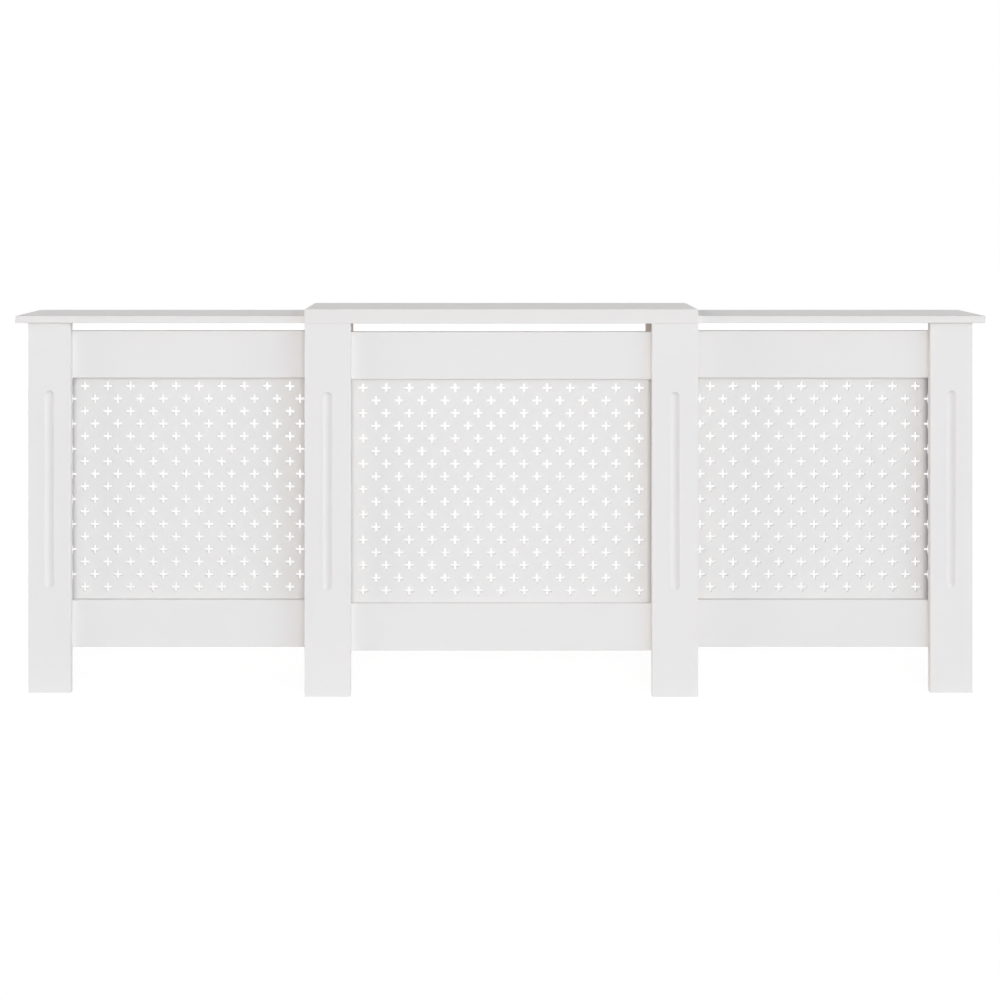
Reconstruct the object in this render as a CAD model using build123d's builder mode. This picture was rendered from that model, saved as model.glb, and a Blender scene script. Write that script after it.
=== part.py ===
from build123d import *
import os

# Extending radiator cover in painted board. The centre unit stands on two wide front legs.
# A side unit slides out from under its top board at each end, as far as the wall needs.
#
# The origin is on the floor, in the middle of the centre unit's width and of the depth.
# X runs along the wall, +Y points to the wall and +Z points up. All sizes are in mm.

os.makedirs("parts", exist_ok=True)

# ---------------------------------------------------------------- overall sizes
cover_height = 815.0
cover_depth = 190.0
centre_width = 828.0
unit_length = 700.0  # a side unit, from its outer end to its inner end
left_reach = 614.0  # how far the left unit's end stands out of the centre unit
right_reach = 610.5  # the same on the right

# ---------------------------------------------------------------- boards
board_thickness = 15.0
grille_thickness = 5.0
arris = 1.0  # rounding of the painted edges

# ---------------------------------------------------------------- top boards
lip_height = 15.0  # strip under the centre board's front edge
lip_gap = 2.0  # between the back of the lip and a side board
slide_clearance = 0.5  # between a side board and the centre board over it
front_overhang = 8.0  # side board past the side leg, at the front
end_overhang = 25.0  # side board past the side leg, at the end

# ---------------------------------------------------------------- legs and rails
centre_leg_width = 97.0
side_leg_width = 90.0
rail_height = 100.0
top_gap = 19.0  # warm air slot between the top rails and the centre lip
foot_gap = 92.5  # cool air gap under the bottom rails
rail_inset = 10.0  # from a centre leg's outer edge to the end of the rails behind it
brace_height = 60.0

# ---------------------------------------------------------------- grooves in the front legs
groove_width = 20.0
groove_depth = 5.0
groove_length = 418.0
groove_base = 223.0  # height of the groove's lower end

# ---------------------------------------------------------------- crosses in the grilles
cross_length = 20.0
cross_arm = 5.0
column_pitch = 48.8
row_pitch = 26.87
row_stagger = 27.3  # sideways shift of every second row
first_row_drop = 19.9  # from the underside of the top rail to the first row
first_cross = 136.6  # from a side unit's outer end to its first full column
grille_lap = 20.0  # how far a grille reaches over the back of each rail
grille_edge = 10.0  # least material left past the last column

# ---------------------------------------------------------------- dowels and screws
dowel_radius = 3.0
dowel_length = 30.0
dowel_cap_depth = 9.0  # the part of a dowel that goes in across a board's thickness
lip_dowel_length = 40.0
lip_dowel_depth = 18.0  # the part of a lip dowel that is in the leg
dowel_spacing = 50.0  # between the two dowels on top of a leg
dowel_margin = 35.0  # from the ends of a side panel's or brace's top edge to a dowel
panel_dowel_margin = 60.0  # from the ends of a side panel's front edge to a dowel
panel_dowel_count = 4
screw_radius = 2.0
screw_head_radius = 4.0
screw_bite = 10.0  # how far a leg screw goes into its last board
screw_spacing = 48.0
grille_screw_bite = 7.0
grille_screw_count = 4  # along each rail
grille_screw_margin = 60.0
recess_depth = 1.2  # cross recess in a screw's head
recess_length = 4.4
recess_width = 0.9
fixing_clearance = 0.1  # between a dowel or screw and its hole, all round

# ---------------------------------------------------------------- wall brackets
bracket_leaf = 25.0
bracket_width = 20.0
bracket_thickness = 2.0
bracket_bend = 1.5  # inside radius of the bend
bracket_hole_radius = 2.5
bracket_hole_offset = 14.0  # from the bracket's corner
bracket_screw_bite = 10.0
pan_head_radius = 3.6
pan_head_height = 2.0

# ---------------------------------------------------------------- places in depth
front = -cover_depth / 2
wall = cover_depth / 2
centre_rail_front = front + board_thickness
centre_rail_back = centre_rail_front + board_thickness
centre_grille_front = centre_rail_back - grille_thickness
side_board_front = front + board_thickness + lip_gap
side_leg_front = side_board_front + front_overhang
side_rail_front = side_leg_front + board_thickness
side_grille_front = side_rail_front + board_thickness
inner_leg_front = side_grille_front + grille_thickness
brace_front = inner_leg_front + board_thickness

# ---------------------------------------------------------------- places in height
centre_board_low = cover_height - board_thickness
lip_low = centre_board_low - lip_height
side_board_high = centre_board_low - slide_clearance
side_board_low = side_board_high - board_thickness
top_rail_high = lip_low - top_gap
top_rail_low = top_rail_high - rail_height
bottom_rail_high = foot_gap + rail_height
grille_high = top_rail_low + grille_lap
grille_low = bottom_rail_high - grille_lap
bracket_height = side_board_low - brace_height / 2

# Each rail: its name, its lower and upper edge, the lower and upper edge of the grille's lap.
rails = (
    ("top_rail", top_rail_low, top_rail_high, top_rail_low, grille_high),
    ("bottom_rail", foot_gap, bottom_rail_high, grille_low, bottom_rail_high),
)
lap_heights = [(lap_low + lap_high) / 2 for _, _, _, lap_low, lap_high in rails]
leg_screw_heights = [(grille_high + top_rail_high) / 2, (foot_gap + grille_low) / 2]

# ---------------------------------------------------------------- places along the wall
centre_half = centre_width / 2
leg_inner_edge = centre_half - centre_leg_width
leg_middles = (centre_leg_width / 2 - centre_half, centre_half - centre_leg_width / 2)
rail_half = centre_half - rail_inset

# On a side unit, distances are measured inwards from its outer end.
leg_end = end_overhang + side_leg_width
leg_middle = end_overhang + side_leg_width / 2
panel_face = end_overhang + board_thickness
panel_middle = end_overhang + board_thickness / 2
inner_leg_start = unit_length - side_leg_width
inner_leg_middle = unit_length - side_leg_width / 2
brace_start = unit_length - board_thickness
brace_middle = unit_length - board_thickness / 2


# ================================================================ helpers
def save(builder, name):
    """Label a finished piece and write it under its own name."""
    builder.part.label = name
    export_step(builder.part, f"parts/{name}.step")


def slab(x_limits, y_limits, z_limits, mode=Mode.ADD):
    """Add a plain board between the given limits."""
    limits = (x_limits, y_limits, z_limits)
    with Locations(tuple(sum(pair) / 2 for pair in limits)):
        Box(*[abs(pair[1] - pair[0]) for pair in limits], mode=mode)


def drill(start, inwards, radius, depth):
    """Drill a hole with the fixings' clearance, from a point on a face inwards."""
    with Locations(Plane(origin=start, z_dir=inwards).location):
        bottom_first = (Align.CENTER, Align.CENTER, Align.MIN)
        Cylinder(radius + fixing_clearance, depth, align=bottom_first, mode=Mode.SUBTRACT)


def countersink(start, outwards, depth):
    """Drill a countersunk screw hole at a point on a face that looks outwards."""
    with Locations(Plane(origin=start, z_dir=outwards).location):
        CounterSinkHole(
            radius=screw_radius + fixing_clearance,
            counter_sink_radius=screw_head_radius + fixing_clearance,
            depth=depth,
            counter_sink_angle=90,
        )


def cut_groove(x_middle, face):
    """Rout the long cove with ball ends into a leg's front face."""
    cutter_radius = groove_width**2 / (8 * groove_depth) + groove_depth / 2
    centre = (x_middle, face + groove_depth - cutter_radius, groove_base + groove_length / 2)
    straight = (groove_length - groove_width) / 2
    tip = straight + cutter_radius
    with BuildSketch(Plane(origin=centre, x_dir=(1, 0, 0), z_dir=(0, -1, 0))) as profile:
        with BuildLine():
            Line((0, -tip), (0, tip))
            RadiusArc((0, tip), (cutter_radius, straight), cutter_radius)
            Line((cutter_radius, straight), (cutter_radius, -straight))
            RadiusArc((cutter_radius, -straight), (0, -tip), cutter_radius)
        make_face()
    revolve(profile.sketch, axis=Axis(centre, (0, 0, 1)), mode=Mode.SUBTRACT)


def front_edges(builder, direction):
    """The edges of a board's front face that run along an axis, lowest first."""
    return builder.faces().sort_by(Axis.Y)[0].edges().filter_by(direction).sort_by(Axis.Z)


def evenly(start, end, count):
    """Places spread evenly from start to end, both included."""
    return [start + (end - start) * index / (count - 1) for index in range(count)]


def count_within(space, pitch):
    """How many crosses have their centres within a space that starts at the first one."""
    return int(space / pitch) + 1


def dowel(length):
    """A wooden dowel with chamfered ends, standing on the origin."""
    with BuildPart() as peg:
        Cylinder(dowel_radius, length, align=(Align.CENTER, Align.CENTER, Align.MIN))
        chamfer(peg.edges().filter_by(GeomType.CIRCLE), dowel_radius / 4)
    return peg.part


def cut_recess(head_top):
    """The cross recess in a screw's head."""
    with Locations((0, 0, head_top - recess_depth / 2)):
        Box(recess_length, recess_width, recess_depth, mode=Mode.SUBTRACT)
        Box(recess_width, recess_length, recess_depth, mode=Mode.SUBTRACT)


def countersunk_screw(length):
    """A countersunk screw, point down, with the face of its head at the origin."""
    head_height = screw_head_radius - screw_radius
    with BuildPart() as screw:
        with Locations((0, 0, -head_height / 2)):
            Cone(screw_radius, screw_head_radius, head_height)
        with Locations((0, 0, -(head_height + length) / 2)):
            Cylinder(screw_radius, length - head_height)
        chamfer(screw.edges().sort_by(Axis.Z)[0], screw_radius / 2)
        cut_recess(0)
    return screw.part


def pan_screw(length):
    """A pan head screw, point down, with the underside of its head at the origin."""
    with BuildPart() as screw:
        with Locations((0, 0, pan_head_height / 2)):
            Cylinder(pan_head_radius, pan_head_height)
        fillet(screw.edges().sort_by(Axis.Z)[-1], pan_head_height / 2)
        with Locations((0, 0, -length / 2)):
            Cylinder(screw_radius, length)
        chamfer(screw.edges().sort_by(Axis.Z)[0], screw_radius / 2)
        cut_recess(pan_head_height)
    return screw.part


def save_group(fixing, planes, name):
    """Write copies of one fixing, one on each plane, as separate solids of one node."""
    with BuildPart() as group:
        with Locations(*[plane.location for plane in planes]):
            add(fixing)
    save(group, name)


# One cross: two slots with round ends.
with BuildSketch() as cross:
    SlotOverall(cross_length, cross_arm)
    SlotOverall(cross_length, cross_arm, rotation=90)


def grille(x_limits, face, columns, staggered_columns, screw_columns):
    """A panel with rows of crosses that use two sets of columns in turn, and its screw holes."""
    first_row = top_rail_low - first_row_drop
    row_count = count_within(first_row - bottom_rail_high - cross_length / 2, row_pitch)
    crosses = []
    for row in range(row_count):
        for column in staggered_columns if row % 2 else columns:
            crosses.append((column, first_row - row * row_pitch))
    screws = [(column, height) for column in screw_columns for height in lap_heights]
    with BuildPart() as panel:
        with BuildSketch(Plane.XZ.offset(-face)):
            with Locations((sum(x_limits) / 2, (grille_low + grille_high) / 2)):
                Rectangle(abs(x_limits[1] - x_limits[0]), grille_high - grille_low)
            with Locations(*crosses):
                add(cross.sketch, mode=Mode.SUBTRACT)
            with Locations(*screws):
                Circle(screw_radius + fixing_clearance, mode=Mode.SUBTRACT)
        extrude(amount=-grille_thickness)
    return panel


# ================================================================ centre unit
lip_middle = front + board_thickness / 2
dowel_shifts = (-dowel_spacing / 2, dowel_spacing / 2)
screw_shifts = (-screw_spacing / 2, screw_spacing / 2)
lip_dowel_places = [middle + shift for middle in leg_middles for shift in dowel_shifts]
leg_screw_places = [middle + shift for middle in leg_middles for shift in screw_shifts]
screw_reach = rail_half - grille_screw_margin
grille_screw_places = evenly(-screw_reach, screw_reach, grille_screw_count + 1)

with BuildPart() as centre_top_board:
    slab((-centre_half, centre_half), (front, wall), (centre_board_low, cover_height))
    top_edges = centre_top_board.faces().sort_by(Axis.Z)[-1].edges().sort_by(Axis.Y)[:-1]
    fillet(top_edges + front_edges(centre_top_board, Axis.Z), arris)
    for x_place in lip_dowel_places:
        board_depth = lip_dowel_length - lip_dowel_depth - lip_height
        drill((x_place, lip_middle, centre_board_low), (0, 0, 1), dowel_radius, board_depth)
save(centre_top_board, "centre_top_board")

with BuildPart() as centre_top_lip:
    slab((-centre_half, centre_half), (front, centre_rail_front), (lip_low, centre_board_low))
    lower_edge = front_edges(centre_top_lip, Axis.X)[:1]
    fillet(lower_edge + front_edges(centre_top_lip, Axis.Z), arris)
    for x_place in lip_dowel_places:
        drill((x_place, lip_middle, lip_low), (0, 0, 1), dowel_radius, lip_height)
save(centre_top_lip, "centre_top_lip")

for side, middle in zip(("left", "right"), leg_middles):
    edges_x = middle - centre_leg_width / 2, middle + centre_leg_width / 2
    with BuildPart() as centre_leg:
        slab(edges_x, (front, centre_rail_front), (0, lip_low))
        fillet(front_edges(centre_leg, Axis.X)[1:] + front_edges(centre_leg, Axis.Z), arris)
        cut_groove(middle, front)
        for shift in dowel_shifts:
            top_point = (middle + shift, lip_middle, lip_low)
            drill(top_point, (0, 0, -1), dowel_radius, lip_dowel_depth)
        for height in leg_screw_heights:
            for shift in screw_shifts:
                back_point = (middle + shift, centre_rail_front, height)
                drill(back_point, (0, -1, 0), screw_radius, screw_bite)
    save(centre_leg, f"centre_{side}_leg")

# The rails are rebated at the back, so that the grille lies flush with them.
for (name, low, high, lap_low, lap_high), screw_height in zip(rails, leg_screw_heights):
    with BuildPart() as centre_rail:
        slab((-rail_half, rail_half), (centre_rail_front, centre_rail_back), (low, high))
        fillet(front_edges(centre_rail, Axis.X), arris)
        rebate = (centre_grille_front, centre_rail_back)
        slab((-rail_half, rail_half), rebate, (lap_low, lap_high), mode=Mode.SUBTRACT)
        for x_place in leg_screw_places:
            countersink((x_place, centre_rail_back, screw_height), (0, 1, 0), board_thickness)
        for x_place in grille_screw_places:
            rebate_point = (x_place, centre_grille_front, (lap_low + lap_high) / 2)
            drill(rebate_point, (0, -1, 0), screw_radius, grille_screw_bite)
    save(centre_rail, f"centre_{name}")

centre_count = count_within(2 * leg_inner_edge - cross_length, column_pitch)
first_column = -(centre_count - 1) / 2 * column_pitch
centre_columns = [first_column + index * column_pitch for index in range(centre_count)]
centre_grille = grille(
    (-rail_half, rail_half),
    centre_grille_front,
    centre_columns,
    [column + row_stagger for column in centre_columns[:-1]],
    grille_screw_places,
)
save(centre_grille, "centre_grille")

save_group(
    dowel(lip_dowel_length),
    [Plane((x_place, lip_middle, lip_low - lip_dowel_depth)) for x_place in lip_dowel_places],
    "centre_dowels",
)
save_group(
    countersunk_screw(board_thickness + screw_bite),
    [
        Plane(origin=(x_place, centre_rail_back, height), z_dir=(0, 1, 0))
        for x_place in leg_screw_places
        for height in leg_screw_heights
    ],
    "centre_leg_screws",
)
save_group(
    pan_screw(grille_thickness + grille_screw_bite),
    [
        Plane(origin=(x_place, centre_rail_back, height), z_dir=(0, 1, 0))
        for x_place in grille_screw_places
        for height in lap_heights
    ],
    "centre_grille_screws",
)


# ================================================================ side units
def wall_bracket(corner_x, away, name):
    """A steel angle in the corner between a board's face and the wall."""
    outer = Vector(corner_x, wall)
    leaf_end = Vector(away * bracket_leaf, 0)
    leaf_step = Vector(away * bracket_thickness, -bracket_thickness)
    with BuildPart() as bracket:
        with BuildSketch(Plane.XY.offset(bracket_height - bracket_width / 2)) as angle:
            with BuildLine():
                Polyline(
                    outer,
                    outer + leaf_end,
                    outer + leaf_end - Vector(0, bracket_thickness),
                    outer + leaf_step,
                    outer + Vector(away * bracket_thickness, -bracket_leaf),
                    outer - Vector(0, bracket_leaf),
                    close=True,
                )
            make_face()
            bend = angle.vertices().sort_by_distance(tuple(outer + leaf_step))[0]
            fillet(bend, bracket_bend)
            corner = angle.vertices().sort_by_distance(tuple(outer))[0]
            fillet(corner, bracket_bend + bracket_thickness)
        extrude(amount=bracket_width)
        wall_hole = (corner_x + away * bracket_hole_offset, wall, bracket_height)
        with Locations(Plane(origin=wall_hole, z_dir=(0, 1, 0)).location):
            Hole(bracket_hole_radius, depth=bracket_thickness)
        board_hole = (corner_x, wall - bracket_hole_offset, bracket_height)
        drill(board_hole, (away, 0, 0), screw_radius, bracket_thickness)
    save(bracket, name)


def side_unit(side, end_x, inward):
    """Build one side unit. Its outer end is at end_x and inward is +1 or -1 along X."""

    def at(distance):
        return end_x + inward * distance

    def span(start, end):
        return at(start), at(end)

    board_depth = dowel_length - dowel_cap_depth
    side_leg_y = side_leg_front + board_thickness / 2
    inner_leg_y = inner_leg_front + board_thickness / 2
    inner_leg_shifts = [inner_leg_middle + shift for shift in screw_shifts]
    outer_screws = [(panel_face + leg_end) / 2 + shift for shift in screw_shifts]
    panel_dowel_heights = evenly(
        panel_dowel_margin, side_board_low - panel_dowel_margin, panel_dowel_count
    )
    panel_tops = [(panel_middle, y) for y in evenly(side_rail_front + dowel_margin, wall - dowel_margin, 2)]
    brace_tops = [(brace_middle, y) for y in evenly(brace_front + dowel_margin, wall - dowel_margin, 2)]
    leg_tops = [(leg_middle + shift, side_leg_y) for shift in dowel_shifts]
    inner_leg_tops = [(inner_leg_middle + shift, inner_leg_y) for shift in dowel_shifts]
    grille_screws = evenly(
        panel_face + grille_screw_margin, inner_leg_start - grille_screw_margin, grille_screw_count
    )

    def drill_tops(tops):
        for distance, y in tops:
            drill((at(distance), y, side_board_low), (0, 0, -1), dowel_radius, board_depth)

    with BuildPart() as top_board:
        slab(span(0, unit_length), (side_board_front, wall), (side_board_low, side_board_high))
        top_face = top_board.faces().sort_by(Axis.Z)[-1]
        end_edge = top_face.edges().sort_by(Axis.X)[-1 if inward < 0 else 0]
        corner_edge = front_edges(top_board, Axis.Z).sort_by(Axis.X)[-1 if inward < 0 else 0]
        fillet(front_edges(top_board, Axis.X) + [end_edge, corner_edge], arris)
        for distance, y in panel_tops + brace_tops + leg_tops + inner_leg_tops:
            point = (at(distance), y, side_board_low)
            drill(point, (0, 0, 1), dowel_radius, dowel_cap_depth)
    save(top_board, f"{side}_top_board")

    with BuildPart() as leg:
        slab(span(end_overhang, leg_end), (side_leg_front, side_rail_front), (0, side_board_low))
        fillet(front_edges(leg, Axis.Z), arris)
        cut_groove(at(leg_middle), side_leg_front)
        drill_tops(leg_tops)
        for height in panel_dowel_heights:
            point = (at(panel_middle), side_rail_front, height)
            drill(point, (0, -1, 0), dowel_radius, dowel_cap_depth)
        for height in leg_screw_heights:
            for distance in outer_screws:
                point = (at(distance), side_rail_front, height)
                drill(point, (0, -1, 0), screw_radius, screw_bite)
    save(leg, f"{side}_leg")

    with BuildPart() as side_panel:
        slab(span(end_overhang, panel_face), (side_rail_front, wall), (0, side_board_low))
        drill_tops(panel_tops)
        for height in panel_dowel_heights:
            point = (at(panel_middle), side_rail_front, height)
            drill(point, (0, 1, 0), dowel_radius, board_depth)
        point = (at(panel_face), wall - bracket_hole_offset, bracket_height)
        drill(point, (-inward, 0, 0), screw_radius, bracket_screw_bite)
    save(side_panel, f"{side}_side_panel")

    for (name, low, high, lap_low, lap_high), screw_height in zip(rails, leg_screw_heights):
        lap_middle = (lap_low + lap_high) / 2
        with BuildPart() as rail:
            slab(span(panel_face, unit_length), (side_rail_front, side_grille_front), (low, high))
            fillet(front_edges(rail, Axis.X), arris)
            for distance in outer_screws:
                point = (at(distance), side_grille_front, screw_height)
                countersink(point, (0, 1, 0), board_thickness)
            for distance in grille_screws:
                point = (at(distance), side_grille_front, lap_middle)
                drill(point, (0, -1, 0), screw_radius, grille_screw_bite)
            for distance in inner_leg_shifts:
                point = (at(distance), side_grille_front, lap_middle)
                drill(point, (0, -1, 0), screw_radius, screw_bite)
        save(rail, f"{side}_{name}")

    last_cross = unit_length - grille_edge - cross_length / 2
    columns = [
        at(first_cross + index * column_pitch)
        for index in range(count_within(last_cross - first_cross, column_pitch))
    ]
    first_staggered = first_cross - row_stagger
    staggered_columns = [
        at(first_staggered + index * column_pitch)
        for index in range(count_within(last_cross - first_staggered, column_pitch))
    ]
    screw_columns = [at(distance) for distance in grille_screws + inner_leg_shifts]
    panel_limits = span(panel_face, unit_length)
    panel = grille(panel_limits, side_grille_front, columns, staggered_columns, screw_columns)
    save(panel, f"{side}_grille")

    with BuildPart() as inner_leg:
        slab(span(inner_leg_start, unit_length), (inner_leg_front, brace_front), (0, side_board_low))
        drill_tops(inner_leg_tops)
        for height in lap_heights:
            for distance in inner_leg_shifts:
                countersink((at(distance), brace_front, height), (0, 1, 0), board_thickness)
        point = (at(brace_middle), brace_front, bracket_height)
        drill(point, (0, -1, 0), dowel_radius, dowel_cap_depth)
    save(inner_leg, f"{side}_inner_leg")

    with BuildPart() as inner_brace:
        brace_low = side_board_low - brace_height
        slab(span(brace_start, unit_length), (brace_front, wall), (brace_low, side_board_low))
        drill_tops(brace_tops)
        point = (at(brace_middle), brace_front, bracket_height)
        drill(point, (0, 1, 0), dowel_radius, board_depth)
        point = (at(brace_start), wall - bracket_hole_offset, bracket_height)
        drill(point, (inward, 0, 0), screw_radius, bracket_screw_bite)
    save(inner_brace, f"{side}_inner_brace")

    wall_bracket(at(panel_face), inward, f"{side}_outer_wall_bracket")
    wall_bracket(at(brace_start), -inward, f"{side}_inner_wall_bracket")

    dowel_planes = [
        Plane((at(distance), y, side_board_low - board_depth))
        for distance, y in panel_tops + brace_tops + leg_tops + inner_leg_tops
    ]
    dowel_planes += [
        Plane(origin=(at(panel_middle), side_rail_front - dowel_cap_depth, height), z_dir=(0, 1, 0))
        for height in panel_dowel_heights
    ]
    brace_dowel = (at(brace_middle), brace_front - dowel_cap_depth, bracket_height)
    dowel_planes.append(Plane(origin=brace_dowel, z_dir=(0, 1, 0)))
    save_group(dowel(dowel_length), dowel_planes, f"{side}_dowels")

    def facing_wall(distances, y, heights):
        return [
            Plane(origin=(at(distance), y, height), z_dir=(0, 1, 0))
            for distance in distances
            for height in heights
        ]

    save_group(
        countersunk_screw(board_thickness + screw_bite),
        facing_wall(outer_screws, side_grille_front, leg_screw_heights),
        f"{side}_leg_screws",
    )
    save_group(
        countersunk_screw(board_thickness + grille_thickness + screw_bite),
        facing_wall(inner_leg_shifts, brace_front, lap_heights),
        f"{side}_inner_leg_screws",
    )
    save_group(
        pan_screw(grille_thickness + grille_screw_bite),
        facing_wall(grille_screws, inner_leg_front, lap_heights),
        f"{side}_grille_screws",
    )
    screw_y = wall - bracket_hole_offset
    outer_head = (at(panel_face + bracket_thickness), screw_y, bracket_height)
    inner_head = (at(brace_start - bracket_thickness), screw_y, bracket_height)
    save_group(
        pan_screw(bracket_thickness + bracket_screw_bite),
        [
            Plane(origin=outer_head, z_dir=(inward, 0, 0)),
            Plane(origin=inner_head, z_dir=(-inward, 0, 0)),
        ],
        f"{side}_bracket_screws",
    )


side_unit("left", -centre_half - left_reach, 1)
side_unit("right", centre_half + right_reach, -1)
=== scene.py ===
from math import radians

import bpy
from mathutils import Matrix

# An extending radiator cover in white painted board, with cross-pattern grilles.
# Everything is in metres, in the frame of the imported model: +Z is up and the front faces -Y.

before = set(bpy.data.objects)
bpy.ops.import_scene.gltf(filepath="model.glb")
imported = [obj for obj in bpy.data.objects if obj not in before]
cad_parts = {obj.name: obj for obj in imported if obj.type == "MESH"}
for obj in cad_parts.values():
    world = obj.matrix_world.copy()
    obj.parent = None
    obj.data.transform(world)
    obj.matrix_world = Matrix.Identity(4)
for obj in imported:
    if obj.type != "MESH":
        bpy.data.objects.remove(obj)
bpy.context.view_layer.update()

# ---------------------------------------------------------------- the photograph's view
IMAGE_SIZE = 1000.0  # pixels, both ways
SENSOR = 36.0  # millimetres
FOCAL_PIXELS = 1443.4
EYE = (-0.0428, -3.130, 1.0448)
EYE_PIXEL = (481.0, 200.0)  # where the level line of sight meets the picture

# ---------------------------------------------------------------- colours, linear
PAINT = (0.822, 0.812, 0.797)
PAINT_THIN = (0.795, 0.778, 0.752)  # where the paint soaks into a cut edge
FIBRE_PALE = (0.65, 0.575, 0.51)
FIBRE_DARK = (0.55, 0.47, 0.40)
BEECH_PALE = (0.70, 0.50, 0.31)
BEECH_DARK = (0.55, 0.36, 0.20)
ZINC_COOL = (0.63, 0.65, 0.68)
ZINC_WARM = (0.69, 0.66, 0.58)

# ---------------------------------------------------------------- surfaces
PAINT_CLOUD = 0.988  # how dark the paint's clouds are beside the paint
FIBRE_FLECK = 0.7  # how dark the flecks are beside the dark fibres
BEECH_FLECK = 0.6  # how dark the flecks are beside the dark grain
DULL_SPECULAR = 0.2  # specular level of satin paint and bare fibreboard
EDGE_DRYNESS = 0.22  # roughness that a soaked edge adds

# ---------------------------------------------------------------- light
# How brightly the front and the back of the studio shine: the axis and the sign of the direction that
# points there, and the colour. The floor adds its own light.
SKY = (
    ("Y", -1.0, (0.56, 0.63, 0.78)),
    ("Y", 1.0, (0.70, 0.70, 0.70)),
)
# Broad, far lamps: name, degrees to the right of the camera's side, degrees up, degrees across,
# strength and colour.
LAMPS = (
    ("key_lamp", 5.0, 9.0, 34.0, 1.49, (1.0, 0.935, 0.84)),
    ("right_lamp", 75.0, 15.0, 50.0, 1.27, (1.0, 0.94, 0.95)),
    ("corner_lamp", 45.0, 8.0, 24.0, 0.42, (0.55, 0.76, 1.0)),
    ("left_lamp", -88.0, 10.0, 40.0, 2.15, (1.0, 0.92, 0.9)),
    ("high_lamp", 0.0, 65.0, 50.0, 0.22, (0.927, 1.0, 0.919)),
    ("right_rear_lamp", 125.0, 9.0, 40.0, 0.8, (1.0, 1.0, 1.0)),
    ("left_rear_lamp", -135.0, 9.0, 40.0, 0.6, (1.0, 1.0, 1.0)),
)
WHITE = (1.0, 1.0, 1.0)
FLOOR_SIZE = 60.0
FLOOR_BOUNCE = (0.7, 0.7, 0.7)  # what the floor throws back onto the cover
FLOOR_SHADE = (0.22, 0.22, 0.22)  # the part of the floor's white that a shadow takes away
FLOOR_GLOW = 0.88  # the part that stays


# ================================================================ nodes
def add_node(tree, kind, inputs=None, **settings):
    """Add a shader node. A socket among the inputs is linked, and anything else is a plain value."""
    made = tree.nodes.new("ShaderNode" + kind)
    for setting, value in settings.items():
        setattr(made, setting, value)
    for socket, value in (inputs or {}).items():
        if isinstance(value, bpy.types.NodeSocket):
            tree.links.new(value, made.inputs[socket])
        else:
            made.inputs[socket].default_value = value
    return made


def rgba(colour, shade=1.0):
    """The colour with its alpha, darkened by a factor."""
    return (*(channel * shade for channel in colour), 1.0)


def new_material(name):
    """An empty material with a Principled shader. Returns the material, its tree and the shader."""
    material = bpy.data.materials.new(name)
    material.use_nodes = True
    tree = material.node_tree
    tree.nodes.clear()
    shader = add_node(tree, "BsdfPrincipled")
    add_node(tree, "OutputMaterial", {"Surface": shader.outputs["BSDF"]})
    return material, tree, shader


def surface_point(tree, stretch=(1.0, 1.0, 1.0)):
    """Object coordinates in metres, stretched along the axes."""
    coordinates = add_node(tree, "TexCoord").outputs["Object"]
    return add_node(tree, "Mapping", {"Vector": coordinates, "Scale": stretch}).outputs["Vector"]


def noise(tree, point, scale, detail=2.0, roughness=0.5):
    inputs = {"Vector": point, "Scale": scale, "Detail": detail, "Roughness": roughness}
    return add_node(tree, "TexNoise", inputs).outputs["Fac"]


def remap(tree, value, source, target):
    """Map a value from one range to another, clamped."""
    inputs = {
        "Value": value,
        "From Min": source[0],
        "From Max": source[1],
        "To Min": target[0],
        "To Max": target[1],
    }
    return add_node(tree, "MapRange", inputs, clamp=True).outputs["Result"]


def mix_colours(tree, factor, first, second):
    mixed = add_node(tree, "Mix", data_type="RGBA")
    for socket, value in (("Factor_Float", factor), ("A_Color", first), ("B_Color", second)):
        target = next(s for s in mixed.inputs if s.identifier == socket)
        if isinstance(value, bpy.types.NodeSocket):
            tree.links.new(value, target)
        else:
            target.default_value = value
    return next(s for s in mixed.outputs if s.identifier == "Result_Color")


def calculate(tree, operation, first, second):
    made = add_node(tree, "Math", operation=operation)
    for socket, value in zip(made.inputs, (first, second)):
        if isinstance(value, bpy.types.NodeSocket):
            tree.links.new(value, socket)
        else:
            socket.default_value = value
    return made.outputs["Value"]


def bump(tree, height, distance, normal=None):
    inputs = {"Height": height, "Distance": distance, "Strength": 1.0}
    if normal is not None:
        inputs["Normal"] = normal
    return add_node(tree, "Bump", inputs).outputs["Normal"]


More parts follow.
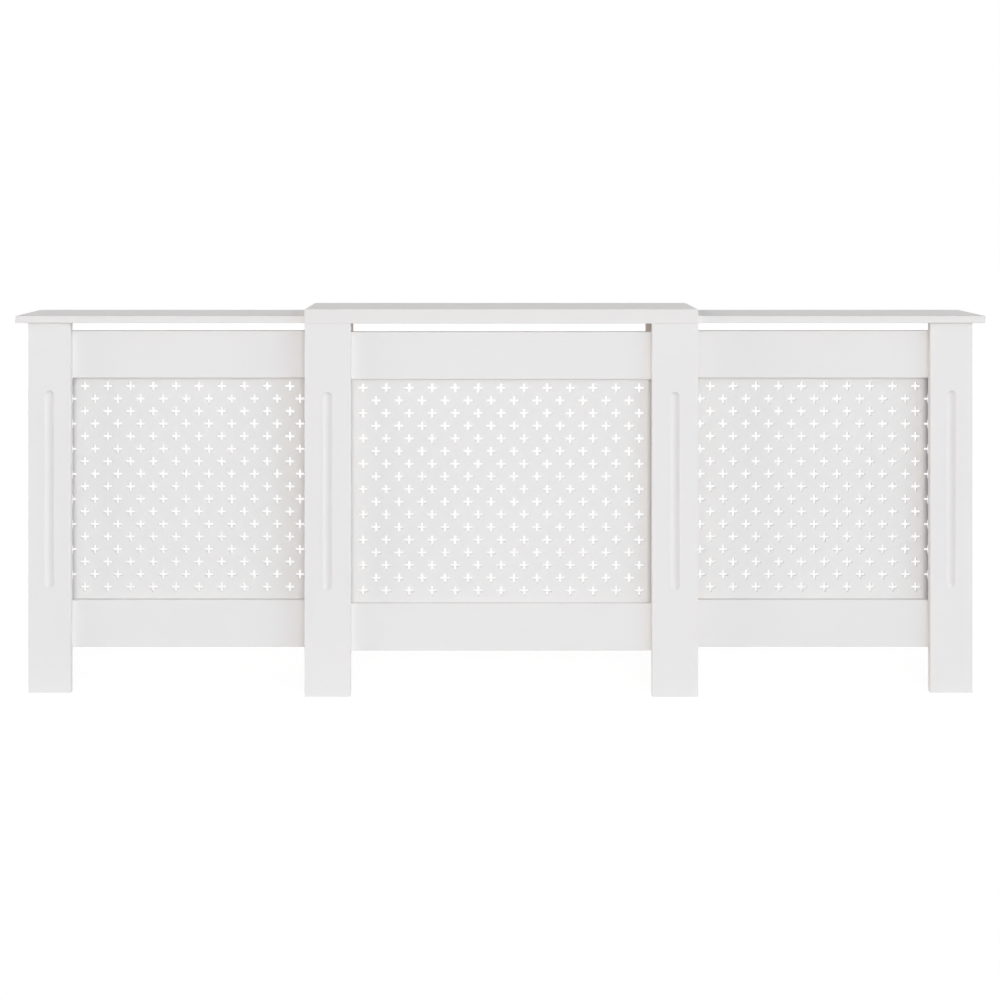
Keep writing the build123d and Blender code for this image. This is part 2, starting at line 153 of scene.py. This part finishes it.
# ================================================================ materials
def painted_board(name, thickness_axis):
    """Sprayed satin paint on fibreboard, with drier, slightly furry cut edges."""
    material, tree, shader = new_material(name)
    point = surface_point(tree)
    normal = add_node(tree, "TexCoord").outputs["Normal"]
    along = add_node(tree, "SeparateXYZ", {"Vector": normal}).outputs[thickness_axis]
    facing = calculate(tree, "ABSOLUTE", along, 0.0)
    cut_edge = remap(tree, facing, (0.2, 0.9), (1.0, 0.0))

    clouds = noise(tree, point, scale=4.0, detail=3.0)
    fibres = noise(tree, point, scale=1400.0, detail=4.0, roughness=0.7)
    peel = noise(tree, point, scale=420.0, detail=2.0)
    mist = noise(tree, point, scale=90.0, detail=3.0)

    cloud_share = remap(tree, clouds, (0.35, 0.65), (0.0, 1.0))
    paint = mix_colours(tree, cloud_share, rgba(PAINT), rgba(PAINT, PAINT_CLOUD))
    fibre_share = remap(tree, fibres, (0.35, 0.7), (0.15, 0.75))
    soaked = calculate(tree, "MULTIPLY", cut_edge, fibre_share)
    colour = mix_colours(tree, soaked, paint, rgba(PAINT_THIN))
    shader.inputs["Base Color"].default_value = rgba(PAINT)
    tree.links.new(colour, shader.inputs["Base Color"])

    face_gloss = remap(tree, mist, (0.3, 0.7), (0.50, 0.58))
    edge_gloss = calculate(tree, "MULTIPLY", soaked, EDGE_DRYNESS)
    tree.links.new(calculate(tree, "ADD", face_gloss, edge_gloss), shader.inputs["Roughness"])
    shader.inputs["Specular IOR Level"].default_value = DULL_SPECULAR

    orange_peel = bump(tree, peel, distance=0.00003)
    furred = calculate(tree, "MULTIPLY", fibres, cut_edge)
    fur = bump(tree, furred, distance=0.00006, normal=orange_peel)
    tree.links.new(fur, shader.inputs["Normal"])
    return material


def bare_board(name):
    """Unpainted fibreboard: matt, with pale and dark fibres in a felted mat."""
    material, tree, shader = new_material(name)
    point = surface_point(tree)
    mat = noise(tree, point, scale=700.0, detail=4.0, roughness=0.7)
    clouds = noise(tree, point, scale=12.0, detail=3.0)
    specks = noise(tree, point, scale=2200.0, detail=1.0)
    flecks = remap(tree, specks, (0.64, 0.74), (0.0, 0.5))
    fine = remap(tree, mat, (0.3, 0.7), (0.0, 0.7))
    coarse = remap(tree, clouds, (0.3, 0.7), (0.0, 0.3))
    blend = calculate(tree, "ADD", fine, coarse)
    colour = mix_colours(tree, blend, rgba(FIBRE_PALE), rgba(FIBRE_DARK))
    colour = mix_colours(tree, flecks, colour, rgba(FIBRE_DARK, FIBRE_FLECK))
    tree.links.new(colour, shader.inputs["Base Color"])
    tree.links.new(remap(tree, mat, (0.3, 0.7), (0.75, 0.9)), shader.inputs["Roughness"])
    shader.inputs["Specular IOR Level"].default_value = DULL_SPECULAR
    tree.links.new(bump(tree, mat, distance=0.00006), shader.inputs["Normal"])
    return material


def beech(name, grain_axis):
    """Bare beech, with fine grain along one axis and short dark flecks."""
    material, tree, shader = new_material(name)
    stretch = tuple(0.12 if axis == grain_axis else 1.0 for axis in "XYZ")
    point = surface_point(tree, stretch)
    grain = noise(tree, point, scale=900.0, detail=5.0, roughness=0.6)
    specks = noise(tree, point, scale=2600.0, detail=1.0)
    flecks = remap(tree, specks, (0.62, 0.72), (0.0, 0.6))
    late_wood = remap(tree, grain, (0.3, 0.7), (0.0, 1.0))
    colour = mix_colours(tree, late_wood, rgba(BEECH_PALE), rgba(BEECH_DARK))
    colour = mix_colours(tree, flecks, colour, rgba(BEECH_DARK, BEECH_FLECK))
    tree.links.new(colour, shader.inputs["Base Color"])
    tree.links.new(remap(tree, grain, (0.3, 0.7), (0.62, 0.78)), shader.inputs["Roughness"])
    tree.links.new(bump(tree, grain, distance=0.00005), shader.inputs["Normal"])
    return material


def zinc(name, smoothest, roughest):
    """Zinc plating with a faint blue and yellow mottle and fine drawing lines."""
    material, tree, shader = new_material(name)
    point = surface_point(tree)
    drawn_point = surface_point(tree, (1.0, 1.0, 0.06))
    lines = noise(tree, drawn_point, scale=1800.0, detail=3.0, roughness=0.6)
    mottle = noise(tree, point, scale=160.0, detail=3.0)
    yellow_share = remap(tree, mottle, (0.35, 0.65), (0.0, 1.0))
    colour = mix_colours(tree, yellow_share, rgba(ZINC_COOL), rgba(ZINC_WARM))
    tree.links.new(colour, shader.inputs["Base Color"])
    shader.inputs["Metallic"].default_value = 1.0
    dulled = calculate(tree, "MULTIPLY", mottle, 0.5)
    wear = calculate(tree, "ADD", dulled, lines)
    tree.links.new(
        remap(tree, wear, (0.6, 1.4), (smoothest, roughest)), shader.inputs["Roughness"]
    )
    tree.links.new(bump(tree, lines, distance=0.00002), shader.inputs["Normal"])
    return material


def dress_nodes():
    """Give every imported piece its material."""
    faces = {axis: painted_board(f"paint_{axis.lower()}", axis) for axis in "XYZ"}
    bare = bare_board("bare_fibreboard")
    wood = beech("beech", "Z")
    screws = zinc("zinc_screws", smoothest=0.22, roughest=0.42)
    plate = zinc("zinc_plate", smoothest=0.30, roughest=0.52)
    for name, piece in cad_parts.items():
        if name.endswith("dowels"):
            material = wood
        elif name.endswith("screws"):
            material = screws
        elif name.endswith("bracket"):
            material = plate
        elif name.endswith(("inner_leg", "inner_brace")):
            material = bare
        elif name.endswith(("top_board", "top_lip")):
            material = faces["Z"]
        elif name.endswith("side_panel"):
            material = faces["X"]
        else:
            material = faces["Y"]
        piece.data.materials.clear()
        piece.data.materials.append(material)


# ================================================================ stage
def seen_directly(tree):
    """1 for a ray that shows the surface to the eye, straight, in a mirror or through glass."""
    path = add_node(tree, "LightPath").outputs
    glossy = calculate(tree, "MAXIMUM", path["Is Glossy Ray"], path["Is Transmission Ray"])
    return calculate(tree, "MAXIMUM", path["Is Camera Ray"], glossy)


def light_world():
    """Soft light from all round, in front of a white background."""
    world = bpy.data.worlds.new("studio")
    world.use_nodes = True
    tree = world.node_tree
    tree.nodes.clear()
    direction = add_node(tree, "TexCoord").outputs["Generated"]
    compass = add_node(tree, "SeparateXYZ", {"Vector": direction}).outputs
    light = None
    for axis, sign, colour in SKY:
        towards = calculate(tree, "MAXIMUM", calculate(tree, "MULTIPLY", compass[axis], sign), 0.0)
        strength = calculate(tree, "POWER", towards, 2.0)
        shine = add_node(tree, "Background", {"Color": rgba(colour), "Strength": strength}).outputs[0]
        light = shine if light is None else add_node(tree, "AddShader", {0: light, 1: shine}).outputs[0]
    white = add_node(tree, "Background", {"Color": rgba(WHITE), "Strength": 1.0}).outputs[0]
    mixed = add_node(tree, "MixShader", {"Fac": seen_directly(tree), 1: light, 2: white}).outputs[0]
    add_node(tree, "OutputWorld", {"Surface": mixed})
    bpy.context.scene.world = world


def add_floor():
    """A white floor that melts into the background and holds a faint shadow."""
    bpy.ops.mesh.primitive_plane_add(size=FLOOR_SIZE, location=(0.0, 0.0, 0.0))
    floor = bpy.context.object
    floor.name = "floor"
    material = bpy.data.materials.new("floor_white")
    material.use_nodes = True
    tree = material.node_tree
    tree.nodes.clear()
    bounce = add_node(tree, "BsdfDiffuse", {"Color": rgba(FLOOR_BOUNCE)}).outputs[0]
    shade = add_node(tree, "BsdfDiffuse", {"Color": rgba(FLOOR_SHADE)}).outputs[0]
    glow = add_node(tree, "Emission", {"Color": rgba(WHITE), "Strength": FLOOR_GLOW}).outputs[0]
    white = add_node(tree, "AddShader", {0: shade, 1: glow}).outputs[0]
    mixed = add_node(tree, "MixShader", {"Fac": seen_directly(tree), 1: bounce, 2: white}).outputs[0]
    add_node(tree, "OutputMaterial", {"Surface": mixed})
    floor.data.materials.append(material)


def add_lamp(name, right, height, spread, strength, colour):
    """A broad, far lamp, as even as a wall of studio light."""
    lamp = bpy.data.lights.new(name, "SUN")
    lamp.angle = radians(spread)
    lamp.energy = strength
    lamp.color = colour
    holder = bpy.data.objects.new(name, lamp)
    holder.rotation_euler = (radians(90.0 - height), 0.0, radians(right))
    bpy.context.scene.collection.objects.link(holder)


def add_camera():
    """The photograph's level view, with the frame shifted down to the cover."""
    data = bpy.data.cameras.new("photo_camera")
    data.sensor_width = SENSOR
    data.lens = FOCAL_PIXELS / IMAGE_SIZE * SENSOR
    data.shift_x = 0.5 - EYE_PIXEL[0] / IMAGE_SIZE
    data.shift_y = EYE_PIXEL[1] / IMAGE_SIZE - 0.5
    camera = bpy.data.objects.new("photo_camera", data)
    camera.location = EYE
    camera.rotation_euler = (radians(90.0), 0.0, 0.0)
    bpy.context.scene.collection.objects.link(camera)
    bpy.context.scene.camera = camera


add_camera()
dress_nodes()
light_world()
add_floor()
for lamp_settings in LAMPS:
    add_lamp(*lamp_settings)

bpy.context.scene.view_settings.view_transform = "Standard"
